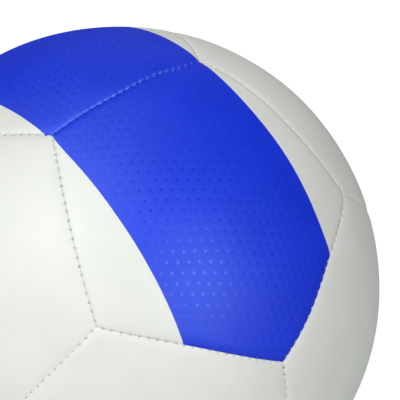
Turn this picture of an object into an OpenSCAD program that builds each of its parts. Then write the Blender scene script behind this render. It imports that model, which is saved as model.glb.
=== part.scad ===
// Small football: twelve five-sided panels sewn edge to edge round an air bladder.
// The origin is the centre of the ball and +Z is up. Units are millimetres.

/* [Ball] */
// Outer diameter over the middle of the panels
ball_d = 146; // [132:1:200]
// How much smaller a panel's own radius is than the ball's, as a share of it
pillow = 0.03; // [0.02:0.005:0.035]
// Half-length of the six seams that cross the axes (0.382 gives regular pentagons)
seam_tip = 0.368; // [0.36:0.002:0.39]

/* [Panel layers] */
// Thickness of the outer skin at the middle of a panel
skin_t = 1.4; // [1.3:0.1:1.8]
// Thickness of the foam backing
foam_t = 1.8; // [1.4:0.1:3]
// Thickness of the lining cloth
lining_t = 0.4; // [0.3:0.1:0.8]

/* [Seams] */
// Space between the turned-in edges of two panels
seam_gap = 0.4; // [0.3:0.1:0.6]
// Thickness of a turned-in edge
hem_t = 1; // [0.8:0.1:1.2]
// Depth of the rounded-off crease along each seam
crease = 0.8; // [0.4:0.1:0.9]
// Stitches along one seam
stitches = 22; // [14:1:24]
// Diameter of the sewing thread
thread_d = 0.6; // [0.4:0.05:0.6]

/* [Bladder and valve] */
// Wall of the bladder
bladder_t = 0.9; // [0.7:0.1:1.4]
// Diameter of the hole in the skin over the valve
valve_hole_d = 7; // [7:0.1:7.6]
// Outer diameter of the valve housing's stem
stem_d = 6.6; // [6.2:0.1:6.6]
// Diameter of the housing's round base
base_d = 22; // [18:1:26]
// Diameter of the core's shank
core_d = 3.8; // [3.6:0.1:4]
// Diameter of the core's head
head_d = 4.8; // [4.6:0.1:5]
// Diameter of the needle channel
needle_d = 2.05; // [2:0.01:2.1]
// Radial clearance of the core in its housing
core_clear = 0.05; // [0.03:0.01:0.08]

/* [Hidden] */
$fn = 160;
R = ball_d / 2;
phi = (1 + sqrt(5)) / 2;
panel_r = R * (1 - pillow);       // a panel's own radius
skin_in = R - skin_t;             // underside of the skin
foam_in = skin_in - foam_t;       // underside of the foam
lining_in = foam_in - lining_t;   // underside of the lining and of the hems
bladder_out = lining_in - 0.05;
bladder_in = bladder_out - bladder_t;
edge_r = R * (1 - pillow * 0.158); // the skin's radius beside a seam
thread_r = skin_in - 0.5;         // radius at which the seams are sewn
rail_z = seam_gap / 2 + hem_t + thread_d / 2 + 0.02; // thread runs behind each hem
foam_off = rail_z + thread_d / 2 + 0.2;  // foam stops short of the seam
thread_inset = 2;                 // from a seam's end to its first stitch

// Valve, measured from the centre of the ball along the valve's axis
valve_axis = [-1, -phi, 0] / sqrt(1 + phi * phi);
stem_top = R - 0.6;
step_s = stem_top - 1.2;          // the step that the core's head sits on
stem_bottom = R - 11;
core_bottom = R - 11.8;
head_bottom = step_s + 0.05;
head_top = stem_top - 0.1;
lead_in = 0.5;                    // funnel above the needle channel

white_skin = [0.93, 0.94, 0.91];
blue_skin = [0.2, 0.3, 0.87];

// ---- panel layout -------------------------------------------------------

function unit(v) = v / norm(v);
// One of the three equal settings of the pattern on the axes
function turn(p, k) = k == 0 ? p : k == 1 ? [p[2], p[0], p[1]] : [p[1], p[2], p[0]];

// The twelve panels: setting, side, end. A panel faces turn([0, side, end * phi]).
front_top = [0, -1, 1];
rear_top = [0, 1, 1];
front_bottom = [0, -1, -1];
rear_bottom = [0, 1, -1];
right_upper = [1, 1, 1];
left_upper = [1, 1, -1];
right_lower = [1, -1, 1];
left_lower = [1, -1, -1];
rear_right = [2, 1, 1];
rear_left = [2, -1, 1];
front_right = [2, 1, -1];
front_left = [2, -1, -1];

// Turns what is drawn for the front top panel to the place of panel p
module place(p) {
  x = turn([-p[1] * p[2], 0, 0], p[0]);
  y = turn([0, -p[1], 0], p[0]);
  z = turn([0, 0, p[2]], p[0]);
  multmatrix([[x[0], y[0], z[0], 0], [x[1], y[1], z[1], 0], [x[2], y[2], z[2], 0], [0, 0, 0, 1]])
    children();
}

// The front top panel: its outward direction, and its five corners in order
facing = unit([0, -1, phi]);
corners = [for (c = [[-seam_tip, 0, 1], [-1, -1, 1], [0, -1, seam_tip], [1, -1, 1], [seam_tip, 0, 1]]) unit(c)];
// Direction across its k-th edge, pointing into the panel
function inward(k) = let (n = unit(cross(corners[k], corners[(k + 1) % 5])))
    n * facing > 0 ? n : -n;

// Turns +Z to the direction v
module aim(v) {
  rotate([0, acos(v[2]), atan2(v[1], v[0])]) children();
}

// Everything on the far side of the k-th edge, out to off inside it
module beyond_edge(k, off) {
  aim(-inward(k)) translate([-R * 1.2, -R * 1.2, -off]) cube([R * 2.4, R * 2.4, R * 1.2]);
}

// The part of a ball of radius r that lies within the panel's edges, off inside them
module sector(r, off) {
  difference() {
    sphere(r);
    for (k = [0:4]) beyond_edge(k, off);
  }
}

// The same part of a spherical layer
module layer(r_out, r_in, off) {
  difference() {
    sector(r_out, off);
    sphere(r_in);
  }
}

// Hole through a layer on the valve's axis
module valve_hole(d) {
  aim(valve_axis) translate([0, 0, R * 0.8]) cylinder(d = d, h = R * 0.4);
}

// ---- one panel's pieces -------------------------------------------------

// Outer skin before its crease: a shallow pillow whose edges turn in to meet the next panel's
module plain_skin() {
  difference() {
    translate(facing * R * pillow) sphere(panel_r);
    for (k = [0:4]) beyond_edge(k, seam_gap / 2);
    sphere(lining_in);
    sector(skin_in, seam_gap / 2 + hem_t);
  }
}

// The sloped cut that rounds the panel off along its k-th edge
module edge_slope(k) {
  m = unit(corners[k] + corners[(k + 1) % 5]);
  n = inward(k);
  e = cross(n, m);
  half = acos(corners[k] * corners[(k + 1) % 5]) / 2 + 4;
  multmatrix([[m[0], e[0], n[0], 0], [m[1], e[1], n[1], 0], [m[2], e[2], n[2], 0], [0, 0, 0, 1]])
    rotate([0, 0, -half]) rotate_extrude(angle = 2 * half)
      polygon([[edge_r - crease, -1], [edge_r - crease, seam_gap / 2],
        [edge_r + 2, seam_gap / 2 + 2 + crease], [edge_r + 2, -1]]);
}

// Outer skin, sloped along its edges 0 to k
module sloped_skin(k) {
  difference() {
    if (k == 0) plain_skin(); else sloped_skin(k - 1);
    edge_slope(k);
  }
}

module skin(p) { place(p) sloped_skin(4); }
module foam(p) { place(p) layer(skin_in, foam_in, foam_off); }
module lining(p) { place(p) layer(foam_in, lining_in, foam_off); }

module front_top_panel() { color(blue_skin) skin(front_top); }
module rear_top_panel() { color(blue_skin) skin(rear_top); }
module front_bottom_panel() { color(blue_skin) skin(front_bottom); }
module rear_bottom_panel() { color(blue_skin) skin(rear_bottom); }
module right_upper_panel() { color(white_skin) skin(right_upper); }
module left_upper_panel() { color(white_skin) skin(left_upper); }
module right_lower_panel() { color(white_skin) skin(right_lower); }
module left_lower_panel() { color(white_skin) skin(left_lower); }
module rear_right_panel() { color(white_skin) skin(rear_right); }
module rear_left_panel() { color(white_skin) skin(rear_left); }
module front_right_panel() { color(white_skin) skin(front_right); }
// The valve's panel, with the hole that the pump needle goes through
module front_left_panel() {
  color(white_skin) difference() {
    skin(front_left);
    valve_hole(valve_hole_d);
  }
}

module front_top_foam() { color("wheat") foam(front_top); }
module rear_top_foam() { color("wheat") foam(rear_top); }
module front_bottom_foam() { color("wheat") foam(front_bottom); }
module rear_bottom_foam() { color("wheat") foam(rear_bottom); }
module right_upper_foam() { color("wheat") foam(right_upper); }
module left_upper_foam() { color("wheat") foam(left_upper); }
module right_lower_foam() { color("wheat") foam(right_lower); }
module left_lower_foam() { color("wheat") foam(left_lower); }
module rear_right_foam() { color("wheat") foam(rear_right); }
module rear_left_foam() { color("wheat") foam(rear_left); }
module front_right_foam() { color("wheat") foam(front_right); }
module front_left_foam() {
  color("wheat") difference() {
    foam(front_left);
    valve_hole(valve_hole_d + 1.2);
  }
}

module front_top_lining() { color("lightgray") lining(front_top); }
module rear_top_lining() { color("lightgray") lining(rear_top); }
module front_bottom_lining() { color("lightgray") lining(front_bottom); }
module rear_bottom_lining() { color("lightgray") lining(rear_bottom); }
module right_upper_lining() { color("lightgray") lining(right_upper); }
module left_upper_lining() { color("lightgray") lining(left_upper); }
module right_lower_lining() { color("lightgray") lining(right_lower); }
module left_lower_lining() { color("lightgray") lining(left_lower); }
module rear_right_lining() { color("lightgray") lining(rear_right); }
module rear_left_lining() { color("lightgray") lining(rear_left); }
module front_right_lining() { color("lightgray") lining(front_right); }
// Cut back round the valve, where the patch takes its place
module front_left_lining() {
  color("lightgray") difference() {
    lining(front_left);
    valve_hole(base_d - 2.8);
  }
}

// ---- seams --------------------------------------------------------------

// The thirty seams, each from one corner direction to the next
axis_seams = [for (k = [0:2], s = [-1, 1])
  [unit(turn([-seam_tip, 0, s], k)), unit(turn([seam_tip, 0, s], k))]];
side_seams = [for (k = [0:2], x = [-1, 1], y = [-1, 1], z = [-1, 1])
  [unit(turn([x * seam_tip, 0, z], k)), unit(turn([x, y, z], k))]];

// One sewn run: a thread behind each hem, tied by a stitch through every needle hole
module sewn_seam(a, b) {
  n = unit(cross(a, b));
  m = unit(a + b);
  e = cross(n, m);
  half = acos(a * b) / 2 - thread_inset / thread_r * 180 / PI;
  tail = 0.4 / thread_r * 180 / PI;
  multmatrix([[m[0], e[0], n[0], 0], [m[1], e[1], n[1], 0], [m[2], e[2], n[2], 0], [0, 0, 0, 1]])
    union() {
      for (z = [-rail_z, rail_z])
        translate([0, 0, z]) rotate([0, 0, -half - tail])
          rotate_extrude(angle = 2 * (half + tail)) translate([thread_r, 0]) square(thread_d, center = true);
      for (i = [0:stitches - 1])
        rotate([0, 0, -half + 2 * half * i / (stitches - 1)])
          translate([thread_r, 0, -rail_z]) cylinder(d = thread_d * 0.75, h = 2 * rail_z, $fn = 24);
    }
}

module seam_threads() {
  color("gainsboro") {
    for (s = axis_seams) sewn_seam(s[0], s[1]);
    for (s = side_seams) sewn_seam(s[0], s[1]);
  }
}

// ---- bladder and valve --------------------------------------------------

module bladder() {
  color("dimgray") difference() {
    sphere(bladder_out);
    sphere(bladder_in);
    valve_hole(stem_d + 0.1);
  }
}

// Round patch in the lining's place that ties the bladder to the valve's panel
module valve_patch() {
  color("silver") difference() {
    intersection() {
      sphere(foam_in);
      aim(valve_axis) translate([0, 0, R * 0.8]) cylinder(d = base_d - 3.2, h = R * 0.4);
    }
    sphere(lining_in);
    valve_hole(stem_d + 0.6);
  }
}

// Moulded housing bonded inside the bladder: round base, stem and stepped bore
module valve_housing() {
  color("whitesmoke") difference() {
    union() {
      difference() {
        intersection() {
          sphere(bladder_in - 0.05);
          aim(valve_axis) translate([0, 0, R * 0.8]) cylinder(d = base_d, h = R * 0.4);
        }
        sphere(bladder_in - 1.1);
      }
      aim(valve_axis) translate([0, 0, stem_bottom]) cylinder(d = stem_d, h = stem_top - stem_bottom);
    }
    aim(valve_axis) translate([0, 0, stem_bottom - 1])
      cylinder(d = core_d + 2 * core_clear, h = stem_top - stem_bottom + 2);
    aim(valve_axis) translate([0, 0, step_s])
      cylinder(d = head_d + 2 * core_clear, h = 5);
  }
}

// Removable plug: head, shank and the channel for the pump needle
module valve_core() {
  color("gray") aim(valve_axis) rotate_extrude()
    polygon([
      [needle_d / 2, core_bottom], [core_d / 2 - 0.3, core_bottom], [core_d / 2, core_bottom + 0.8],
      [core_d / 2, head_bottom], [head_d / 2, head_bottom], [head_d / 2, head_top - 0.25],
      [head_d / 2 - 0.25, head_top], [needle_d / 2 + lead_in, head_top], [needle_d / 2, head_top - lead_in]]);
}

front_top_panel();
rear_top_panel();
front_bottom_panel();
rear_bottom_panel();
right_upper_panel();
left_upper_panel();
right_lower_panel();
left_lower_panel();
rear_right_panel();
rear_left_panel();
front_right_panel();
front_left_panel();
front_top_foam();
rear_top_foam();
front_bottom_foam();
rear_bottom_foam();
right_upper_foam();
left_upper_foam();
right_lower_foam();
left_lower_foam();
rear_right_foam();
rear_left_foam();
front_right_foam();
front_left_foam();
front_top_lining();
rear_top_lining();
front_bottom_lining();
rear_bottom_lining();
right_upper_lining();
left_upper_lining();
right_lower_lining();
left_lower_lining();
rear_right_lining();
rear_left_lining();
front_right_lining();
front_left_lining();
seam_threads();
bladder();
valve_patch();
valve_housing();
valve_core();
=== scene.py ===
import math

import bpy
import numpy as np
from mathutils import Matrix, Vector
from mathutils.geometry import delaunay_2d_cdt


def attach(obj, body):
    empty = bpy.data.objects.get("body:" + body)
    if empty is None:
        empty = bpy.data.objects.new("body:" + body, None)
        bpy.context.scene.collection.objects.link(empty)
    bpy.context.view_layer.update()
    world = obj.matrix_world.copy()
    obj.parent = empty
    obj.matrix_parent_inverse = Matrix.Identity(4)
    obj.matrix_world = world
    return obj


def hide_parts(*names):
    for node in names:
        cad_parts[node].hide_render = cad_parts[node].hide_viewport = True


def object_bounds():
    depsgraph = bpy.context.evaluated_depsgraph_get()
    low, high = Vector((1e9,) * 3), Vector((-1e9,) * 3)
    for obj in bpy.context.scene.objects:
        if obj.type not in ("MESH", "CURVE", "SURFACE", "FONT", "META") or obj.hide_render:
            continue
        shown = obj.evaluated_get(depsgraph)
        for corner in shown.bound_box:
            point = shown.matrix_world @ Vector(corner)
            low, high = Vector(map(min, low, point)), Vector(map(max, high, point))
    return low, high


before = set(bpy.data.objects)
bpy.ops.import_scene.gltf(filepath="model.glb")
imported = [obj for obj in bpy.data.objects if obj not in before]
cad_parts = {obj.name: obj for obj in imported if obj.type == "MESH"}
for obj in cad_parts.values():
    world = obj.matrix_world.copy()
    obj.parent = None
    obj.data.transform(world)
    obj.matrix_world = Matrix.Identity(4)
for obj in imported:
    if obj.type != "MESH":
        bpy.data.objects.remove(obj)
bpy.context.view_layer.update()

MM = 0.001

# ---------------------------------------------------------------- layout (mm)

R = 73.0            # ball
PHI = (1 + 5 ** 0.5) / 2
TIP = 0.368         # half-length of the seams that cross the axes
PILLOW = 0.021      # a panel's own radius is this much smaller
INNER = 71.62       # underside of the skin
HEM_FOOT = 69.45    # where the turned-in edges end
HEM_T = 0.9         # thickness of a turned-in edge
STITCHES = 22
INSET = 1.7         # from a seam's end to its first stitch
PER_EDGE = 264      # outline samples along one edge
COARSE = 11         # outline samples per sample of the hidden inside
HOLE_R = 3.5        # valve hole in the skin


def unit(v):
    v = np.asarray(v, float)
    return v / np.linalg.norm(v, axis=-1, keepdims=True)


def turn(p, k):
    x, y, z = p
    return [(x, y, z), (z, x, y), (y, z, x)][k]


# setting, side, end: a panel faces turn((0, side, end * PHI), setting)
PANELS = {
    "front_top": (0, -1, 1), "rear_top": (0, 1, 1),
    "front_bottom": (0, -1, -1), "rear_bottom": (0, 1, -1),
    "right_upper": (1, 1, 1), "left_upper": (1, 1, -1),
    "right_lower": (1, -1, 1), "left_lower": (1, -1, -1),
    "rear_right": (2, 1, 1), "rear_left": (2, -1, 1),
    "front_right": (2, 1, -1), "front_left": (2, -1, -1),
}
PRINTED = ("front_top", "rear_top", "front_bottom", "rear_bottom")


def placing(p):
    """Rotation that takes the front top panel to the place of panel p."""
    k, side, end = p
    return np.array([turn((-side * end, 0, 0), k), turn((0, -side, 0), k), turn((0, 0, end), k)], float).T


# The front top panel, which every panel is a turned copy of
FACING = unit([0, -1, PHI])
AXIS_U = np.array([1.0, 0, 0])
AXIS_V = np.cross(FACING, AXIS_U)
CORNERS = unit([[-TIP, 0, 1], [-1, -1, 1], [0, -1, TIP], [1, -1, 1], [TIP, 0, 1]])
EDGE_N, EDGE_M, EDGE_E, EDGE_HALF = [], [], [], []
for k in range(5):
    a, b = CORNERS[k], CORNERS[(k + 1) % 5]
    n = unit(np.cross(a, b))
    EDGE_N.append(n if n @ FACING > 0 else -n)
    EDGE_M.append(unit(a + b))
    EDGE_E.append(unit(b - a))
    EDGE_HALF.append(math.acos(a @ b) / 2)


def edge_dirs(k, t, s):
    """Directions at shares t along edge k, s mm inside it."""
    ang = (2 * np.asarray(t, float) - 1) * EDGE_HALF[k]
    base = np.cos(ang)[:, None] * EDGE_M[k] + np.sin(ang)[:, None] * EDGE_E[k]
    return math.cos(s / R) * base + math.sin(s / R) * EDGE_N[k]


def edge_distances(d):
    """Distance in mm of each direction from the five edges."""
    return np.stack([R * np.arcsin(np.clip(d @ n, -1, 1)) for n in EDGE_N], 1)


def flat(d):
    """Panel coordinates in mm: distance and bearing from the panel's middle are kept."""
    c = np.clip(d @ FACING, -1, 1)
    a = np.stack([d @ AXIS_U, d @ AXIS_V], 1)
    th = np.arccos(c)
    return a * (R * th / np.maximum(np.sin(th), 1e-9))[:, None]


def unflat(q):
    """Directions of panel coordinates."""
    q = np.asarray(q, float)
    rr = np.linalg.norm(q, axis=1)
    th = rr / R
    w = np.where(rr > 1e-9, np.sin(th) / np.maximum(rr, 1e-9), 1 / R)
    return np.cos(th)[:, None] * FACING + (q[:, :1] * AXIS_U + q[:, 1:] * AXIS_V) * w[:, None]


# ------------------------------------------------- seams shared by two panels

CORNER_LIST = unit(
    [turn((x * TIP, 0, z), k) for k in range(3) for x in (-1, 1) for z in (-1, 1)]
    + [(x, y, z) for x in (-1, 1) for y in (-1, 1) for z in (-1, 1)]
)


def corner_id(d):
    return int(np.argmax(CORNER_LIST @ d))


SEAMS = {}
SIDES = {}
PANEL_EDGES = {}
for name, p in PANELS.items():
    ids = [corner_id(c) for c in CORNERS @ placing(p).T]
    PANEL_EDGES[name] = [(ids[k], ids[(k + 1) % 5]) for k in range(5)]
    for e in PANEL_EDGES[name]:
        SEAMS.setdefault(tuple(sorted(e)), None)
        SIDES.setdefault(tuple(sorted(e)), []).append(name)

for j, key in enumerate(sorted(SEAMS)):
    rng = np.random.default_rng(4100 + j)
    length = R * math.acos(CORNER_LIST[key[0]] @ CORNER_LIST[key[1]])
    at = np.linspace(INSET, length - INSET, STITCHES) + rng.normal(0, 0.07, STITCHES)
    SEAMS[key] = {"length": length, "at": at, "pull": rng.uniform(0.8, 1.2, STITCHES)}
    # the seam between two printed panels is drawn tighter, so its lips roll in more
    SEAMS[key]["roll"] = 1.0 if all(n in PRINTED for n in SIDES[key]) else 0.0
    a, b = CORNER_LIST[key[0]], CORNER_LIST[key[1]]
    x = a[0] + (b[0] - a[0]) * at / length
    if SEAMS[key]["roll"]:
        # its stitches pull less towards the left
        SEAMS[key]["pull"] *= np.clip(0.75 + 1.1 * x, 0.4, 1.0)
    # painted shade in the needle holes: darker in the seams that lie towards the front right, away from the light, and
    # lighter beside the print
    lie = unit(a + b) @ unit(np.array([1, -1, 0.3]))
    soil = np.full(STITCHES, 1.0 if SEAMS[key]["roll"] else 1.3 + 1.1 * float(np.clip((lie - 0.4) / 0.3, 0, 1)))
    if sum(n in PRINTED for n in SIDES[key]) == 1:
        soil[np.abs(x) < 0.37] = 0.6
    SEAMS[key]["soil"] = soil


def stitches_of(name, k):
    """Stitch places along a panel's k-th edge, how hard each one pulls, the lip's roll and the painted shade of its
    needle holes.
    """
    e = PANEL_EDGES[name][k]
    seam = SEAMS[tuple(sorted(e))]
    at = seam["at"] if e[0] < e[1] else seam["length"] - seam["at"]
    return at, seam["pull"], seam["roll"], seam["soil"]


# Sewn seams never lie quite true: tangential offsets in mm at some points of them,
# each with its reach (0.2 unless given)
DRIFT = [
    ((-TIP, 0, 1), (0.26, -0.04, 0.09)), ((TIP, 0, 1), (0.95, 1.1, -0.37)),
    ((-1, -1, 1), (-0.24, -0.06, -0.3)), ((1, -1, 1), (1.3, 0.3, -1.0)),
    ((0, -1, TIP), (-0.4, -0.08, -0.21)), ((0, 0, 1), (0.0, -1.0, 0.0)), ((0.27, 0, 1), (0.0, -0.3, 0.0), 0.07),
    ((-0.72, -0.54, 1.06), (-0.22, 0.14, -0.08)), ((-0.46, -1.0, 0.66), (0.1, 0.06, 0.15)),
    ((0.67, -1.0, 0.8), (-0.33, 0.2, 0.53)), ((0, -1, 0.1), (-0.95, 0.0, 0.0)), ((0.35, -1.0, 0.58), (-0.83, 0.48, 1.3)),
    ((0.62, -0.39, 1.02), (-0.24, -0.15, 0.09)), ((0.79, -0.67, 1.01), (-0.4, -0.25, 0.15)),
    ((-0.448, 0.202, 0.87), (-1.0, -0.7, -0.37)), ((1, 1, 1), (-0.3, 0.4, -0.1)), ((-1, -1, -1), (0.4, -0.3, -0.1)),
    ((0, TIP, -1), (0.3, 0.3, 0.1)), ((-1, 0, -TIP), (0.0, 0.4, 0.0)),
    ((-1, 1, 1), (0.3, 0.1, 0.2)), ((1, -TIP, 0), (0.0, -0.2, 0.4)),
]
DRIFT_AT = unit([d[0] for d in DRIFT])
DRIFT_SPREAD = np.array([d[2] if len(d) > 2 else 0.2 for d in DRIFT])
_gram = np.exp(-((DRIFT_AT[:, None] - DRIFT_AT[None]) ** 2).sum(2) / (2 * DRIFT_SPREAD ** 2))
DRIFT_W = np.linalg.solve(_gram + 0.02 * np.eye(len(DRIFT)), np.array([d[1] for d in DRIFT], float))


def drift(p):
    """Moves points (mm, ball frame) with the seams; the hems' feet stay put."""
    rr = np.linalg.norm(p, axis=1, keepdims=True)
    d = p / rr
    w = np.zeros_like(p)
    for c, v, reach in zip(DRIFT_AT, DRIFT_W, DRIFT_SPREAD):
        w += np.exp(-((d - c) ** 2).sum(1) / (2 * reach ** 2))[:, None] * v
    w -= d * (w * d).sum(1, keepdims=True)
    w *= np.clip((rr - 69.6) / 2.2, 0, 1)
    return rr * unit(p + w)


def swell(d):
    """Slow unevenness of an inflated cover, mm."""
    return (
        0.055 * np.sin(9.1 * d @ np.array([0.61, -0.53, 0.59]) + 1.3)
        + 0.045 * np.sin(13.7 * d @ np.array([-0.31, 0.72, 0.62]) + 0.4)
        + 0.035 * np.sin(19.3 * d @ np.array([0.82, 0.41, -0.39]) + 2.1)
    )


# ------------------------------------------------------------- panel surfaces

ROWS = [
    (0.012, PER_EDGE), (0.10, PER_EDGE), (0.21, PER_EDGE), (0.34, PER_EDGE), (0.50, PER_EDGE), (0.72, PER_EDGE),
    (1.02, PER_EDGE // 2), (1.42, PER_EDGE // 2), (1.95, PER_EDGE // 3), (2.65, PER_EDGE // 4),
]
# the embossed dots' first place and their two steps; stretching bends the rows a little
DOT_AT = np.array([1.99, 3.26])
DOT_STEP = np.array([[2.585, 0.227], [0.117, 3.024]])
DOT_RINGS = ((0.2, 6), (0.38, 8), (0.58, 8))


def dot_place(cells):
    """Panel coordinates of dots from their counts along the two steps."""
    q = DOT_AT + np.asarray(cells, float) @ DOT_STEP
    x, y = (q[:, :1] + 18) / 30, (q[:, 1:] + 14) / 30
    return q + x * [0.12, -0.16] + y * [0.13, -0.04] + x * x * [0.86, -0.29] + x * y * [0.14, 0.06] + y * y * [0.08, 0.08]


def dot_profile(r):
    x = np.clip((0.58 - r) / 0.2, 0, 1)
    return x * x * (3 - 2 * x)


def outline_dirs(s):
    """The outline, s mm inside the edges, counterclockwise from corner 0."""
    if s == 0:
        return np.concatenate([edge_dirs(k, np.arange(PER_EDGE) / PER_EDGE, 0) for k in range(5)])
    out = []
    inner = []
    for k in range(5):      # corners of the smaller outline
        n0, n1 = EDGE_N[k - 1], EDGE_N[k]
        b = unit(np.cross(n0, n1))
        b = b if b @ CORNERS[k] > 0 else -b
        g = unit(n0 + n1)
        g = unit(g - b * (g @ b))
        al = math.asin(min(1, math.sin(s / R) / (g @ n1)))
        inner.append(math.cos(al) * b + math.sin(al) * g)
    for k in range(5):
        a, b = inner[k], inner[(k + 1) % 5]
        t = np.arange(PER_EDGE)[:, None] / PER_EDGE
        out.append(unit(a * (1 - t) + b * t))
    return np.concatenate(out)


def sample_panel(dotted, hole):
    """Directions over the panel, its triangles, outline, hole ring and dot weights."""
    outline = outline_dirs(0)
    pts, dots = [outline], [np.zeros(len(outline))]
    az = np.arctan2(*flat(outline[::COARSE]).T[::-1])
    keep_off = []
    if dotted:
        counts = [(i, j + 0.5 * (i % 2)) for i in range(-24, 25) for j in range(-22, 23)]
        cells = dot_place(counts)
        cells = cells[np.linalg.norm(cells, axis=1) < 52]
        inside = edge_distances(unflat(cells)).min(1)
        # dots lie in the printed band only
        band = np.abs(unflat(cells)[:, 0] * R) < 24.3
        centres = cells[(inside > 1.1) & band]
        keep_off = centres
        pts.append(unflat(centres))
        dots.append(np.ones(len(centres)))
        for r, m in DOT_RINGS:
            for q in range(m):
                an = 2 * math.pi * (q + 0.5 * (r > 0.2)) / m
                pts.append(unflat(centres + [r * math.cos(an), r * math.sin(an)]))
                dots.append(np.full(len(centres), float(dot_profile(np.array(r)))))
        fill = np.concatenate([
            cells[(inside > 3.2) & ~band],
            cells[inside > 2] + DOT_STEP[0] * 0.667, cells[inside > 2] - DOT_STEP[0] * 0.667,
        ])
    else:
        fill = np.array([(1.5 * i, 1.732 * (j + 0.5 * (i % 2))) for i in range(-36, 37) for j in range(-34, 35)])
        fill = fill[np.linalg.norm(fill, axis=1) < 52]
    fd = unflat(fill)
    ok = edge_distances(fd).min(1) > 3.3
    if hole:
        ok &= np.linalg.norm(fill, axis=1) > 7.2
    pts.append(fd[ok])
    dots.append(np.zeros(int(ok.sum())))
    for s, m in ROWS:
        for k in range(5):
            d = edge_dirs(k, (np.arange(m) + 0.5 * (m < PER_EDGE)) / m, s)
            sd = edge_distances(d)
            other = np.delete(sd, k, 1).min(1)
            ok = other > s + 0.06
            if len(keep_off) and s > 0.6:
                q = flat(d)
                near = np.array([np.min(np.hypot(*(keep_off - x).T)) for x in q])
                ok &= near > 0.72
            pts.append(d[ok])
            dots.append(np.zeros(int(ok.sum())))
        inner = outline_dirs(s)[::PER_EDGE]
        pts.append(inner)
        dots.append(np.zeros(len(inner)))
    ring_from = sum(len(p) for p in pts)
    if hole:
        for r in (HOLE_R, HOLE_R + 0.06, HOLE_R + 0.15, HOLE_R + 0.28, HOLE_R + 0.46, HOLE_R + 0.72, HOLE_R + 1.1, HOLE_R + 1.7, HOLE_R + 2.6):
            q = np.stack([r * np.cos(az), r * np.sin(az)], 1)
            pts.append(unflat(q))
            dots.append(np.zeros(len(q)))
    d = np.concatenate(pts)
    w = np.concatenate(dots)
    g = np.stack([d @ AXIS_U, d @ AXIS_V], 1) / (d @ FACING)[:, None] * R
    made = delaunay_2d_cdt([Vector(x) for x in g], [], [list(range(len(outline)))], 1, 1e-5)
    first = np.array([o[0] for o in made[3]])
    back = np.full(len(d), -1)
    for new, olds in enumerate(made[3]):
        for o in olds:
            back[o] = new
    tris = np.array([list(f) for f in made[2]])
    ring = None
    if hole:
        ring = back[ring_from:ring_from + len(az)]
        tris = tris[~np.isin(tris, ring).all(1)]
    q = flat(d[first])
    a, b, c = q[tris[:, 0]], q[tris[:, 1]], q[tris[:, 2]]
    turned = (b - a)[:, 0] * (c - a)[:, 1] - (b - a)[:, 1] * (c - a)[:, 0]
    tris[turned < 0] = tris[turned < 0][:, ::-1]
    return {"d": d[first], "dot": w[first], "tris": tris, "outline": back[:len(outline)], "ring": ring, "az": az}


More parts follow.
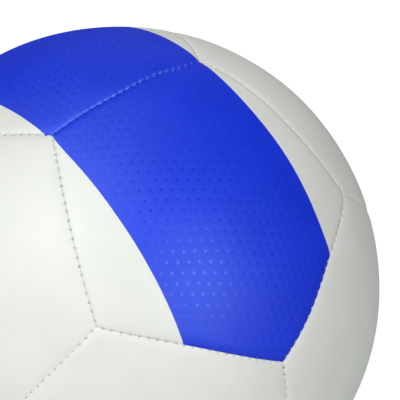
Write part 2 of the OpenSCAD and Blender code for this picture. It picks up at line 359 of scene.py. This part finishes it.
def shape(name, d, dot, hole):
    """Outer surface of one panel in its drawing position: points in mm and masks."""
    s = edge_distances(d)
    soft = 0.22
    se = -soft * np.log(np.exp(-np.clip(s, -1, 30) / soft).sum(1))
    c = FACING * R * PILLOW
    rp = R * (1 - PILLOW)
    cd = d @ c
    rho = cd + np.sqrt(rp * rp - c @ c + cd * cd)
    # a gentle roll towards the seam, then a tighter one at it
    g = np.clip(1 - se / 2.8, 0, 1)
    f = np.clip(1 - se / 0.42, 0, 1)
    rho = rho - 0.36 * g * g - 0.025 * (1 - np.sqrt(1 - 0.98 * f * f))
    pit_shade = np.zeros(len(d))
    lip = np.zeros(len(d))
    lip_highlight = np.zeros(len(d))
    over = name.startswith("rear")      # of two lips that roll in, the one that lies over
    shift = np.zeros_like(d)
    for k in range(5):
        near = np.where(s[:, k] < 5)[0]
        at, pull, tight, soil = stitches_of(name, k)
        sk = np.clip(s[near, k], 0, None)
        a = R * (np.arctan2(d[near] @ EDGE_E[k], d[near] @ EDGE_M[k]) + EDGE_HALF[k])
        ends = np.clip(np.minimum(a, 2 * R * EDGE_HALF[k] - a) / 1.6, 0, 1)
        rolls = tight * np.clip(2.5 * ends, 0, 1)
        tight = tight * ends * ends * (3 - 2 * ends)
        wide = 0.25 + 0.09 * tight
        da = a[:, None] - at[None]
        hit = (pull * np.exp(-(da / wide[:, None]) ** 2)).sum(1)
        gap = np.abs(da).min(1) / (0.5 * (at.max() - at.min()) / (STITCHES - 1))
        bulge = 0.5 - 0.5 * np.cos(math.pi * np.clip(gap, 0, 1))
        hole_here = hit * np.exp(-(sk / wide) ** 2)
        rho[near] += -(0.46 - 0.04 * tight) * hole_here + (0.11 + 0.07 * tight) * (bulge - 0.5) * np.exp(-sk / 0.9)
        x = np.clip(0.75 - sk, 0, None)
        rho[near] -= (0.62 if over else 0.3) * tight * x * x / (x + 0.15)
        lip[near] = np.maximum(lip[near], (1.0 if over else 0.6) * tight * np.exp(-(sk / 0.8) ** 2))
        if over:
            # painted highlight, a lighter blue on the lip: even where the stitches hold it loosely, and on its bulges
            # where they hold it tight
            firm = np.clip((d[near] @ placing(PANELS[name])[0] + 0.1) / 0.3, 0, 1)
            lip_glint = 0.42 * (1 - firm) + (0.12 + 0.88 * bulge ** 3) * firm
            lip_highlight[near] = np.maximum(lip_highlight[near], rolls * lip_glint * np.exp(-((sk - 0.4) / 0.34) ** 2))
        # painted shade in and around each needle hole, weighted per seam
        reach = 0.25 + 0.1 * np.clip(soil - 1, 0, None)
        hole_shade = (soil * pull * np.exp(-(da / reach) ** 2) * np.exp(-(sk[:, None] / (1.1 * reach)) ** 2)).sum(1)
        pit_shade[near] = np.maximum(pit_shade[near], hole_shade)
        back_off = 0.002 + 0.05 * hit
        shift[near] += (back_off * np.exp(-sk / 0.4))[:, None] * EDGE_N[k]
    for cn in CORNERS:
        r = R * np.arccos(np.clip(d @ cn, -1, 1))
        rho -= 0.22 * np.exp(-(r / 0.5) ** 2)
        # painted shade in the dip at each corner
        pit_shade = np.maximum(pit_shade, 0.6 * np.exp(-(r / 0.32) ** 2))
    if hole:
        r = R * np.arccos(np.clip(d @ FACING, -1, 1)) - HOLE_R
        x = np.clip(1 - r / 0.55, 0, 1)
        rho -= 0.34 * (1 - np.sqrt(1 - x * x * 0.985)) + 0.16 * np.exp(-(r / 2.2) ** 2)
    rho -= 0.022 * dot
    world = d @ placing(PANELS[name]).T
    rho += swell(world)
    return rho[:, None] * unit(d + shift / R), se, pit_shade, lip, lip_highlight


def band_distance(d):
    """How far inside the printed band a point of the ball lies, in mm (part frame)."""
    lean = np.abs(np.degrees(np.arctan2(d[:, 1], np.abs(d[:, 2]))))
    left = 25.75 - 1.1 * np.exp(-lean / 3) * (d[:, 1] * d[:, 2] < 0) - 0.45 * np.clip((lean - 25) / 25, 0, 1)
    right = 26.0 - 0.4 * np.exp(-lean / 3) + 0.6 * np.exp(-((lean - 33) / 12) ** 2) - 0.4 * np.clip((lean - 42) / 10, 0, 1)
    return np.where(d[:, 0] < 0, left, right) - np.abs(d[:, 0]) * R * 0.99


def make_mesh(name, verts, tris, tri_uv, quads=None, quad_uv=None, attrs=None):
    """A smooth mesh object from points in mm."""
    me = bpy.data.meshes.new(name)
    groups = [(np.asarray(tris, int), tri_uv)]
    if quads is not None and len(quads):
        groups.append((np.asarray(quads, int), quad_uv))
    loops = np.concatenate([g.ravel() for g, _ in groups])
    sizes = np.concatenate([np.full(len(g), g.shape[1]) for g, _ in groups])
    me.vertices.add(len(verts))
    me.vertices.foreach_set("co", (np.asarray(verts, float) * MM).astype(np.float32).ravel())
    me.loops.add(len(loops))
    me.loops.foreach_set("vertex_index", loops.astype(np.int32))
    me.polygons.add(len(sizes))
    me.polygons.foreach_set("loop_start", np.concatenate([[0], np.cumsum(sizes)[:-1]]).astype(np.int32))
    me.polygons.foreach_set("loop_total", sizes.astype(np.int32))
    me.update(calc_edges=True)
    if tri_uv is not None:
        uv = np.concatenate([np.asarray(u, float).reshape(-1, 2) for _, u in groups])
        me.uv_layers.new(name="OFBake").data.foreach_set("uv", uv.astype(np.float32).ravel())
    for key, values in (attrs or {}).items():
        me.attributes.new(key, "FLOAT", "POINT").data.foreach_set("value", np.asarray(values, np.float32))
    me.polygons.foreach_set("use_smooth", np.ones(len(sizes), bool))
    me.validate()
    me.update()
    o = bpy.data.objects.new(name, me)
    bpy.context.scene.collection.objects.link(o)
    return o


def make_panel(name, cut):
    hole = cut["ring"] is not None
    top, se, pit_shade, lip, lip_highlight = shape(name, cut["d"], cut["dot"], hole)
    verts = [top]
    count = len(top)

    def add(p):
        nonlocal count
        verts.append(p)
        ids = np.arange(count, count + len(p))
        count += len(p)
        return ids

    o = cut["outline"]
    top_o = top[o]
    r_o = np.linalg.norm(top_o, axis=1, keepdims=True)
    d_o = top_o / r_o
    foot_d = outline_dirs(0.1)
    n = len(o)
    # turned-in edge, its foot, its back and the underside of the skin
    half_d = unit(0.5 * d_o + 0.5 * foot_d)
    loops = [o]
    loops.append(add(half_d * (r_o - 0.55)))
    loops.append(add(foot_d * HEM_FOOT))
    back_d = outline_dirs(HEM_T)
    loops.append(add(back_d * HEM_FOOT))
    loops.append(add(back_d * INNER))
    inner_from = len(loops) - 1
    coarse = back_d[::COARSE]
    end = unflat(np.stack([HOLE_R * np.cos(cut["az"]), HOLE_R * np.sin(cut["az"])], 1)) if hole else None
    for t in (0.12, 0.3, 0.48, 0.66, 0.84):
        to = end if hole else FACING[None]
        loops.append(add(unit(coarse * (1 - t) + to * t) * INNER))
    if hole:
        loops.append(add(end * INNER))
        loops.append(cut["ring"])

    q = flat(cut["d"])
    tris = [cut["tris"]]
    tri_uv = [np.stack([0.01 + (q[:, 0] + 46.5) * 0.0083, 0.01 + (q[:, 1] + 49.5) * 0.0083], 1)[cut["tris"]]]
    quads, quad_uv = [], []

    def disc(i, m, level):
        an = 2 * math.pi * i / m
        rr = 0.092 * (1 - level / 8.0)
        return np.stack([0.895 + rr * np.cos(an), 0.3 + rr * np.sin(an)], -1)

    def strip(i, m, level):
        return np.stack([0.01 + 0.98 * i / m, np.full(np.shape(i), 0.79 + 0.045 * level)], -1)

    for lv in range(len(loops) - 1):
        a, b = loops[lv], loops[lv + 1]
        lay = strip if lv < inner_from else disc
        la, lb = (lv, lv + 1) if lv < inner_from else (lv - inner_from, lv + 1 - inner_from)
        m = len(a) // len(b)
        i = np.arange(len(a))
        if m == 1:
            j = (i + 1) % len(a)
            quads.append(np.stack([a[i], b[i], b[j], a[j]], 1))
            quad_uv.append(np.stack([lay(i, len(a), la), lay(i, len(a), lb), lay(i + 1, len(a), lb), lay(i + 1, len(a), la)], 1))
        else:
            j = (i + 1) % len(a)
            own = i // m
            tris.append(np.stack([a[i], b[own], a[j]], 1))
            tri_uv.append(np.stack([lay(i, len(a), la), lay(own, len(b), lb), lay(i + 1, len(a), la)], 1))
            h = np.arange(len(b))
            tris.append(np.stack([a[((h + 1) * m) % len(a)], b[h], b[(h + 1) % len(b)]], 1))
            tri_uv.append(np.stack([lay((h + 1) * m, len(a), la), lay(h, len(b), lb), lay(h + 1, len(b), lb)], 1))
    if not hole:
        mid = add(FACING[None] * INNER)
        a = loops[-1]
        i = np.arange(len(a))
        lv = len(loops) - 1 - inner_from
        tris.append(np.stack([a[i], np.full(len(a), mid[0]), a[(i + 1) % len(a)]], 1))
        tri_uv.append(np.stack([disc(i, len(a), lv), np.full((len(a), 2), [0.895, 0.3]), disc(i + 1, len(a), lv)], 1))

    verts = np.concatenate(verts)
    extra = count - len(top)
    m3 = placing(PANELS[name])
    world = verts @ m3.T
    world = drift(world)
    attrs = {
        "dot": np.concatenate([cut["dot"], np.zeros(extra)]),
        "crease": np.concatenate([np.exp(-np.clip(se, 0, None) / 0.3), np.ones(extra)]),
        "pit_shade": np.concatenate([pit_shade, np.zeros(extra)]),
        "lip": np.concatenate([lip, np.zeros(extra)]),
        "lip_highlight": np.concatenate([lip_highlight, np.zeros(extra)]),
        "edge": np.concatenate([np.clip(se, 0, 20), np.zeros(extra)]),
    }
    if name in PRINTED:
        attrs["band"] = band_distance(unit(world))
    o = make_mesh(name + "_cover", world, np.concatenate(tris), np.concatenate(tri_uv),
                  np.concatenate(quads), np.concatenate(quad_uv), attrs)
    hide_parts(name + "_panel")
    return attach(o, "ball")


# ---------------------------------------------------------------- node helpers


class Nodes:
    """Short calls for building one material."""

    def __init__(self, name):
        self.mat = bpy.data.materials.new(name)
        self.mat.use_nodes = True
        self.tree = self.mat.node_tree
        self.tree.nodes.clear()
        self.out = self.tree.nodes.new("ShaderNodeOutputMaterial")
        self.bsdf = self.tree.nodes.new("ShaderNodeBsdfPrincipled")
        self.link(self.bsdf.outputs[0], self.out.inputs["Surface"])

    def link(self, a, b):
        self.tree.links.new(a, b)

    def put(self, socket, value):
        if hasattr(value, "is_linked"):
            self.link(value, socket)
        else:
            socket.default_value = value

    def set(self, **values):
        for key, value in values.items():
            self.put(self.bsdf.inputs[key.replace("_", " ")], value)

    def coords(self):
        return self.tree.nodes.new("ShaderNodeTexCoord").outputs["Object"]

    def attr(self, name):
        n = self.tree.nodes.new("ShaderNodeAttribute")
        n.attribute_name = name
        return n.outputs["Fac"]

    def math(self, op, a, b=0.0, c=None, clamp=False):
        n = self.tree.nodes.new("ShaderNodeMath")
        n.operation = op
        n.use_clamp = clamp
        self.put(n.inputs[0], a)
        self.put(n.inputs[1], b)
        if c is not None:
            self.put(n.inputs[2], c)
        return n.outputs[0]

    def range(self, v, a, b, c, d, smooth=False):
        n = self.tree.nodes.new("ShaderNodeMapRange")
        if smooth:
            n.interpolation_type = "SMOOTHSTEP"
        for i, x in enumerate((v, a, b, c, d)):
            self.put(n.inputs[i], x)
        return n.outputs[0]

    def noise(self, vec, scale, detail=2.0, rough=0.5):
        n = self.tree.nodes.new("ShaderNodeTexNoise")
        self.put(n.inputs["Vector"], vec)
        n.inputs["Scale"].default_value = scale
        n.inputs["Detail"].default_value = detail
        n.inputs["Roughness"].default_value = rough
        return n.outputs["Fac"]

    def cells(self, vec, scale, feature="F1"):
        n = self.tree.nodes.new("ShaderNodeTexVoronoi")
        n.feature = feature
        self.put(n.inputs["Vector"], vec)
        n.inputs["Scale"].default_value = scale
        return n.outputs["Distance"]

    def mix(self, fac, a, b, kind="MIX"):
        n = self.tree.nodes.new("ShaderNodeMix")
        n.data_type = "RGBA"
        n.blend_type = kind
        self.put(n.inputs[0], fac)
        self.put(n.inputs[6], a)
        self.put(n.inputs[7], b)
        return n.outputs[2]

    def bump(self, height, strength, distance, normal=None):
        n = self.tree.nodes.new("ShaderNodeBump")
        n.inputs["Strength"].default_value = strength
        n.inputs["Distance"].default_value = distance
        self.put(n.inputs["Height"], height)
        if normal is not None:
            self.put(n.inputs["Normal"], normal)
        return n.outputs[0]


def rgb(r, g, b):
    return (r, g, b, 1.0)


def skin(name, printed):
    """Coated synthetic skin; printed panels carry the blue band."""
    m = Nodes(name)
    at = m.coords()
    grain = m.noise(at, 2600, 2.0, 0.55)
    mottle = m.noise(at, 70, 3.0, 0.5)
    tones = (rgb(0.833, 0.838, 0.788), rgb(0.868, 0.869, 0.816)) if printed else (rgb(0.823, 0.842, 0.79), rgb(0.858, 0.873, 0.818))
    white = m.mix(m.range(mottle, 0.35, 0.65, 0.0, 1.0), *tones)
    crease = m.attr("crease")
    pit_shade = m.attr("pit_shade")
    if printed:
        blue = m.mix(m.range(mottle, 0.35, 0.65, 0.0, 1.0), rgb(0.0038, 0.0305, 0.755), rgb(0.0052, 0.0355, 0.81))
        dot = m.attr("dot")
        wander = m.math("MULTIPLY_ADD", m.math("SUBTRACT", m.noise(at, 900, 2.0), 0.5), 0.09, m.attr("band"))
        ink = m.range(wander, -0.05, 0.05, 0.0, 1.0, True)
        lip = m.attr("lip")
        blue = m.mix(dot, blue, rgb(0.008, 0.043, 0.80))
        # painted highlight: the lip that rolls in is painted a lighter blue where it catches the light
        blue = m.mix(m.attr("lip_highlight"), blue, rgb(0.12, 0.24, 0.90))
        colour = m.mix(ink, white, blue)
        rough = m.math("MULTIPLY_ADD", m.math("MULTIPLY", dot, ink), -0.24, m.range(grain, 0.3, 0.7, 0.46, 0.54))
        rough = m.math("MULTIPLY_ADD", m.math("MAXIMUM", crease, lip), -0.22, rough)
        # painted shade: the print is darkened in the crease and on the turned-in hem walls, less so on the lip
        turned = m.math("MULTIPLY", m.math("SUBTRACT", crease, lip, clamp=True), 0.5)
        colour = m.mix(turned, colour, rgb(0.35, 0.36, 0.4), "MULTIPLY")
    else:
        colour = white
        rough = m.range(grain, 0.3, 0.7, 0.46, 0.54)
    # painted shade along the crease and on the turned-in hem walls, varied by noise
    soil = m.math("MULTIPLY", m.range(m.noise(at, 500, 2.0), 0.3, 0.7, 0.0, 0.02), crease)
    colour = m.mix(soil, colour, rgb(0.45, 0.45, 0.43), "MULTIPLY")
    # painted shade in the needle holes and at the corners
    pit_shade_mix = m.math("MULTIPLY", m.math("POWER", m.range(pit_shade, 0.35, 2.3, 0.0, 1.0), 1.8), 0.85)
    colour = m.mix(pit_shade_mix, colour, rgb(0.3, 0.305, 0.3), "MULTIPLY")
    m.set(Base_Color=colour, Roughness=rough, IOR=1.5, Specular_IOR_Level=0.55 if printed else 0.45)
    m.set(Specular_Tint=rgb(0.72, 1.0, 1.0) if printed else rgb(0.95, 1.0, 1.0))
    m.set(Normal=m.bump(grain, 0.13, 0.0001))
    return m.mat


def thread_material():
    m = Nodes("polyester_thread")
    at = m.coords()
    ply = m.noise(at, 3800, 2.0, 0.6)
    m.set(Base_Color=m.mix(ply, rgb(0.50, 0.51, 0.50), rgb(0.72, 0.73, 0.71)), Roughness=m.range(ply, 0.3, 0.7, 0.5, 0.75), IOR=1.5)
    m.set(Normal=m.bump(ply, 0.4, 0.0002))
    return m.mat


def foam_material():
    m = Nodes("backing_foam")
    at = m.coords()
    cell = m.cells(at, 1500)
    m.set(Base_Color=m.mix(m.range(cell, 0.1, 0.7, 0.0, 1.0), rgb(0.42, 0.37, 0.27), rgb(0.72, 0.66, 0.52)),
          Roughness=m.range(cell, 0.0, 0.8, 0.95, 0.8), IOR=1.4)
    m.set(Normal=m.bump(cell, 0.6, 0.0004))
    return m.mat


def cloth_material(name, dark, light):
    """Plain weave at about 1.1 threads a millimetre."""
    m = Nodes(name)
    at = m.coords()
    waves = []
    for axis in ("X", "Y"):
        w = m.tree.nodes.new("ShaderNodeTexWave")
        w.bands_direction = axis
        m.link(at, w.inputs["Vector"])
        w.inputs["Scale"].default_value = 340
        w.inputs["Distortion"].default_value = 0.6
        waves.append(w.outputs["Fac"])
    weave = m.math("MULTIPLY", waves[0], waves[1])
    fuzz = m.noise(at, 1800, 3.0, 0.6)
    both = m.math("MULTIPLY_ADD", fuzz, 0.4, weave)
    m.set(Base_Color=m.mix(m.range(both, 0.1, 1.1, 0.0, 1.0), dark, light), Roughness=m.range(fuzz, 0.3, 0.7, 0.8, 0.95), IOR=1.45)
    m.set(Normal=m.bump(both, 0.5, 0.0003))
    return m.mat


def rubber_material(name, dark, light, lo, hi, scale):
    m = Nodes(name)
    at = m.coords()
    cloud = m.noise(at, 45, 4.0, 0.55)
    fine = m.noise(at, scale, 3.0, 0.6)
    m.set(Base_Color=m.mix(m.range(cloud, 0.3, 0.7, 0.0, 1.0), dark, light), Roughness=m.range(fine, 0.3, 0.7, lo, hi), IOR=1.52, Specular_IOR_Level=0.4)
    m.set(Normal=m.bump(fine, 0.25, 0.0002))
    return m.mat


MATS = {
    "skin_blue": skin("coated_skin_printed", True),
    "skin_white": skin("coated_skin_plain", False),
    "foam": foam_material(),
    "lining": cloth_material("lining_cloth", rgb(0.38, 0.38, 0.37), rgb(0.66, 0.66, 0.63)),
    "patch": cloth_material("patch_cloth", rgb(0.30, 0.30, 0.31), rgb(0.52, 0.52, 0.52)),
    "thread": thread_material(),
    "bladder": rubber_material("bladder_rubber", rgb(0.018, 0.018, 0.019), rgb(0.035, 0.034, 0.034), 0.4, 0.6, 900),
    "valve_housing": rubber_material("valve_rubber_pale", rgb(0.55, 0.56, 0.54), rgb(0.64, 0.65, 0.62), 0.42, 0.6, 2400),
    "valve_core": rubber_material("valve_rubber_grey", rgb(0.16, 0.165, 0.17), rgb(0.21, 0.215, 0.22), 0.4, 0.58, 2600),
}


def dress(o, mat):
    o.data.materials.clear()
    o.data.materials.append(mat)


# -------------------------------------------------------------------- building

plain = sample_panel(False, False)
dotted = sample_panel(True, False)
holed = sample_panel(False, True)
for name in PANELS:
    o = make_panel(name, holed if name == "front_left" else dotted if name in PRINTED else plain)
    dress(o, MATS["skin_blue" if name in PRINTED else "skin_white"])


def tube(path, radius, sides):
    """Points, triangles and their UVs of a closed round tube along a path (mm)."""
    t = unit(np.gradient(path, axis=0))
    up = unit(path)
    up = unit(up - t * (up * t).sum(1, keepdims=True))
    across = np.cross(t, up)
    an = 2 * math.pi * np.arange(sides) / sides
    ring = path[:, None] + radius * (np.cos(an)[None, :, None] * up[:, None] + np.sin(an)[None, :, None] * across[:, None])
    n = len(path)
    v = np.concatenate([ring.reshape(-1, 3), path[:1] - t[:1] * radius * 0.5, path[-1:] + t[-1:] * radius * 0.5])
    i, j = np.meshgrid(np.arange(n - 1), np.arange(sides), indexing="ij")
    i, j = i.ravel(), j.ravel()
    k = (j + 1) % sides
    a, b, c, d = i * sides + j, (i + 1) * sides + j, (i + 1) * sides + k, i * sides + k

    def at(i, j):
        return np.stack([0.01 + 0.98 * (i + 1) / (n + 1), j / sides], -1)

    f = [np.stack([a, b, c], 1), np.stack([a, c, d], 1)]
    uv = [np.stack([at(i, j), at(i + 1, j), at(i + 1, j + 1)], 1), np.stack([at(i, j), at(i + 1, j + 1), at(i, j + 1)], 1)]
    j = np.arange(sides)
    k = (j + 1) % sides
    first, last = np.zeros(sides), np.full(sides, n - 1.0)
    f.append(np.stack([np.full(sides, n * sides), j, k], 1))
    uv.append(np.stack([at(first - 1, j + 0.5), at(first, j), at(first, j + 1)], 1))
    f.append(np.stack([np.full(sides, n * sides + 1), (n - 1) * sides + k, (n - 1) * sides + j], 1))
    uv.append(np.stack([at(last + 1, j + 0.5), at(last, j + 1), at(last, j)], 1))
    return v, np.concatenate(f)[:, ::-1], np.concatenate(uv)[:, ::-1]


def smooth_path(p, m):
    """Points of a path with m steps between neighbours."""
    ext = np.concatenate([2 * p[:1] - p[1:2], p, 2 * p[-1:] - p[-2:-1]])
    out = []
    for i in range(1, len(ext) - 2):
        a, b, c, d = ext[i - 1:i + 3]
        for q in range(m):
            t = q / m
            out.append(0.5 * (2 * b + (c - a) * t + (2 * a - 5 * b + 4 * c - d) * t * t + (3 * b - a - 3 * c + d) * t ** 3))
    out.append(p[-1])
    return np.array(out)


def make_threads():
    """Two threads a seam, one behind each hem, which lock in every needle hole."""
    verts, tris, uvs, count = [], [], [], 0
    for key in sorted(SEAMS):
        a, b = CORNER_LIST[key[0]], CORNER_LIST[key[1]]
        n, mdir, e = unit(np.cross(a, b)), unit(a + b), unit(b - a)
        half = SEAMS[key]["length"] / R / 2
        for side in (-1, 1):
            path = []
            at = SEAMS[key]["at"]
            pts = [(at[0] - 0.6, 1.36, 71.0)]
            for i, x in enumerate(at):
                pts += [(x - 0.26, 1.32, 71.0), (x - 0.13, 0.66, 70.95), (x, 0.1, 70.9), (x + 0.13, 0.66, 70.95), (x + 0.26, 1.32, 71.0)]
                if i + 1 < len(at):
                    pts.append(((x + at[i + 1]) / 2, 1.38, 71.05))
            pts.append((at[-1] + 0.6, 1.36, 71.0))
            for x, off, rr in pts:
                ang = x / R - half
                d = math.cos(ang) * mdir + math.sin(ang) * e
                path.append(rr * unit(d + n * side * off / R))
            v, f, uv = tube(smooth_path(np.array(path), 2), 0.24, 5)
            # each thread has its own row of the map
            uv[..., 1] = 0.005 + 0.99 * (len(uvs) + 0.06 + 0.88 * uv[..., 1]) / (2 * len(SEAMS))
            verts.append(v)
            tris.append(f + count)
            uvs.append(uv)
            count += len(v)
    o = make_mesh("sewn_threads", drift(np.concatenate(verts)), np.concatenate(tris), np.concatenate(uvs))
    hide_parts("seam_threads")
    dress(o, MATS["thread"])
    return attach(o, "ball")


make_threads()

VALVE = unit([-1, -PHI, 0])
VALVE_X = unit(np.cross([0, 0, 1], VALVE))
VALVE_Y = np.cross(VALVE, VALVE_X)


def lathe(name, profile, steps):
    """Closed ring turned round the valve's axis from (radius, height) points in mm."""
    p = np.array(profile, float)
    an = 2 * math.pi * np.arange(steps) / steps
    rad = np.cos(an)[:, None] * VALVE_X + np.sin(an)[:, None] * VALVE_Y
    v = (p[None, :, :1] * rad[:, None] + p[None, :, 1:] * VALVE).reshape(-1, 3)
    m = len(p)
    i, j = np.meshgrid(np.arange(steps), np.arange(m), indexing="ij")
    i, j = i.ravel(), j.ravel()
    i2, j2 = (i + 1) % steps, (j + 1) % m
    quads = np.stack([i * m + j, i2 * m + j, i2 * m + j2, i * m + j2], 1)
    run = np.concatenate([[0], np.cumsum(np.linalg.norm(np.diff(np.vstack([p, p[:1]]), axis=0), axis=1))])
    run = run / run[-1]
    uv = np.stack([
        np.stack([0.01 + 0.98 * i / steps, 0.01 + 0.98 * run[j]], 1),
        np.stack([0.01 + 0.98 * (i + 1) / steps, 0.01 + 0.98 * run[j]], 1),
        np.stack([0.01 + 0.98 * (i + 1) / steps, 0.01 + 0.98 * run[j + 1]], 1),
        np.stack([0.01 + 0.98 * i / steps, 0.01 + 0.98 * run[j + 1]], 1),
    ], 1)
    return make_mesh(name, v, np.zeros((0, 3), int), np.zeros((0, 3, 2)), quads, uv)


def arc(cx, cy, r, a0, a1, n):
    return [(cx + r * math.cos(math.radians(a)), cy + r * math.sin(math.radians(a))) for a in np.linspace(a0, a1, n)]


def cap(r0, r1, rad, n):
    """Points on a sphere of radius rad about the ball's centre, from radius r0 to r1."""
    return [(r, math.sqrt(rad * rad - r * r)) for r in np.linspace(r0, r1, n)]


# Counterclockwise sections: (distance from the axis, height along it)
housing = (
    [(1.95, 62.25), (2.1, 62.0), (3.05, 62.0)] + arc(3.05, 62.25, 0.25, -80, 0, 5)
    + [(3.3, 64.5), (3.3, 66.6)] + arc(4.0, 66.6, 0.7, 180, 100, 6)
    + cap(4.3, 10.75, 67.35, 14) + arc(10.75, 67.0, 0.25, -60, 60, 5)
    + cap(10.7, 3.7, 68.4, 16) + arc(3.7, 68.75, 0.4, 250, 180, 5)
    + [(3.3, 69.2), (3.3, 70.6), (3.3, 71.7)] + arc(2.98, 72.08, 0.32, 0, 90, 8)
    + [(2.85, 72.36), (2.72, 72.3)] + arc(2.6, 72.16, 0.15, 80, 180, 5)
    + [(2.45, 71.9), (2.45, 71.4)] + arc(2.35, 71.3, 0.1, 0, -90, 4)
    + [(2.1, 71.2)] + arc(2.05, 71.1, 0.1, 100, 180, 4) + [(1.95, 70.0), (1.95, 66.0)]
)
core = (
    [(1.025, 61.4), (1.15, 61.2), (1.6, 61.2)] + arc(1.6, 61.5, 0.3, -80, -20, 4)
    + [(1.9, 62.0), (1.9, 66.0), (1.9, 71.15)] + arc(2.0, 71.15, 0.1, 180, 90, 3)
    + [(2.2, 71.26)] + arc(2.28, 71.4, 0.12, -80, 0, 4) + [(2.4, 71.6)] + arc(2.1, 71.98, 0.3, 0, 85, 7)
    + [(1.95, 72.3), (1.8, 72.3)] + arc(1.72, 72.16, 0.14, 80, 140, 4)
    + [(1.4, 72.02), (1.2, 71.84), (1.08, 71.66), (1.025, 71.4), (1.025, 69.0), (1.025, 65.0)]
)
o = lathe("valve_housing_moulded", housing, 96)
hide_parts("valve_housing")
dress(o, MATS["valve_housing"])
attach(o, "ball")
o = lathe("valve_core_moulded", core, 96)
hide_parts("valve_core")
dress(o, MATS["valve_core"])
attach(o, "core")

for name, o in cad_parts.items():
    if o.hide_render:
        continue
    kind = "foam" if name.endswith("_foam") else "lining" if name.endswith("_lining") else "patch" if name == "valve_patch" else name
    for i in range(len(o.material_slots)):
        o.material_slots[i].material = MATS[kind]

# ------------------------------------------------------------- camera and stage

RIGHT = Vector((0.76991134, -0.63644923, 0.04657144))
UP = Vector((0.3976164, 0.53551516, 0.74506692))
BACK = Vector((-0.49913698, -0.5551179, 0.66536185))
cam_data = bpy.data.cameras.new("camera")
cam_data.sensor_width = 36.0
cam_data.lens = 36.0 * 2488.44 / 400
cam_data.clip_start = 0.05
cam = bpy.data.objects.new("camera", cam_data)
place = Matrix((RIGHT, UP, BACK)).transposed().to_4x4()
place.translation = Vector((-4.43134787, -5.35750338, 6.6572749)) * R * MM
cam.matrix_world = place
bpy.context.scene.collection.objects.link(cam)
bpy.context.scene.camera = cam

floor_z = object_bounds()[0].z - 0.0002
me = bpy.data.meshes.new("floor")
h = 6.0
me.from_pydata([(-h, -h, floor_z), (h, -h, floor_z), (h, h, floor_z), (-h, h, floor_z)], [], [(0, 1, 2, 3)])
floor = bpy.data.objects.new("floor", me)
bpy.context.scene.collection.objects.link(floor)
m = Nodes("pale_floor")
rays = m.tree.nodes.new("ShaderNodeLightPath").outputs
m.set(Base_Color=m.mix(rays["Is Glossy Ray"], rgb(0.42, 0.42, 0.42), rgb(0.06, 0.06, 0.06)), Roughness=0.9, Specular_IOR_Level=0.1)
m.set(Emission_Color=rgb(1, 1, 1), Emission_Strength=m.math("MULTIPLY", rays["Is Camera Ray"], 0.78))
me.materials.append(m.mat)
# the low fills behind the ball shine through the floor, as its own bounce would
floor.visible_shadow = False

world = bpy.data.worlds.new("studio")
bpy.context.scene.world = world
world.use_nodes = True
wt = world.node_tree
wt.nodes.clear()
bg = wt.nodes.new("ShaderNodeBackground")
wo = wt.nodes.new("ShaderNodeOutputWorld")
lp = wt.nodes.new("ShaderNodeLightPath")
# white behind the object, an even fill on it, and a darker room in its gloss
parts = []
for share, ray in ((0.08, "Is Diffuse Ray"), (0.0, "Is Glossy Ray"), (1.0, "Is Camera Ray")):
    p = wt.nodes.new("ShaderNodeMath")
    p.operation = "MULTIPLY"
    p.inputs[1].default_value = share
    wt.links.new(lp.outputs[ray], p.inputs[0])
    parts.append(p)
total = None
for p in parts:
    if total is None:
        total = p
        continue
    q = wt.nodes.new("ShaderNodeMath")
    q.operation = "ADD"
    wt.links.new(total.outputs[0], q.inputs[0])
    wt.links.new(p.outputs[0], q.inputs[1])
    total = q
bg.inputs[0].default_value = (0.93, 1.0, 1.02, 1.0)
wt.links.new(total.outputs[0], bg.inputs[1])
wt.links.new(bg.outputs[0], wo.inputs[0])


def softbox(name, toward, distance, size, power, colour=(1, 1, 1)):
    """Area light aimed at the ball; toward is in the camera's right, up and back axes."""
    d = (RIGHT * toward[0] + UP * toward[1] + BACK * toward[2]).normalized()
    li = bpy.data.lights.new(name, "AREA")
    li.shape = "DISK"
    li.size = size
    li.energy = power
    li.color = colour
    o = bpy.data.objects.new(name, li)
    o.location = d * distance
    o.rotation_mode = "QUATERNION"
    o.rotation_quaternion = (-d).to_track_quat("-Z", "Y")
    o.visible_camera = False
    bpy.context.scene.collection.objects.link(o)
    return o


# boxes that show in the gloss, and fills that do not
softbox("right_box", (0.515, 0.11, 0.85), 1.3, 0.82, 7.4).visible_diffuse = False
softbox("left_box", (-0.53, 0.446, 0.72), 1.3, 1.4, 16.0).visible_diffuse = False
softbox("low_light", (-0.66, -0.48, 0.57), 1.3, 0.5, 4.5)
softbox("over_light", (0.06, 0.96, 0.28), 1.3, 0.8, 0.3)
softbox("over_fill", (0.02, 0.96, 0.28), 1.5, 0.92, 2.7).visible_glossy = False
softbox("top_fill", (-0.48, 0.84, 0.26), 1.5, 0.92, 4.2).visible_glossy = False
softbox("upper_fill", (-0.22, 0.55, 0.80), 1.5, 0.92, 8.3).visible_glossy = False
softbox("front_fill", (0.3, -0.3, 0.9), 1.4, 0.86, 4.7).visible_glossy = False
softbox("near_fill", (0.75, -0.2, 0.63), 1.5, 0.92, 5.3).visible_glossy = False
softbox("rear_fill", (0.1, 0.75, -0.66), 1.5, 0.92, 4.4).visible_glossy = False
softbox("back_fill", (0.0, 0.0, -1.0), 1.5, 0.2, 9.5).visible_glossy = False
softbox("right_fill", (0.48, -0.22, -0.85), 1.5, 0.2, 6.5, (0.8, 0.94, 1.0)).visible_glossy = False
softbox("left_fill", (-0.8, 0.0, -0.6), 1.5, 0.2, 6.0).visible_glossy = False

bpy.context.scene.view_settings.view_transform = "Standard"
bpy.context.scene.view_settings.look = "None"
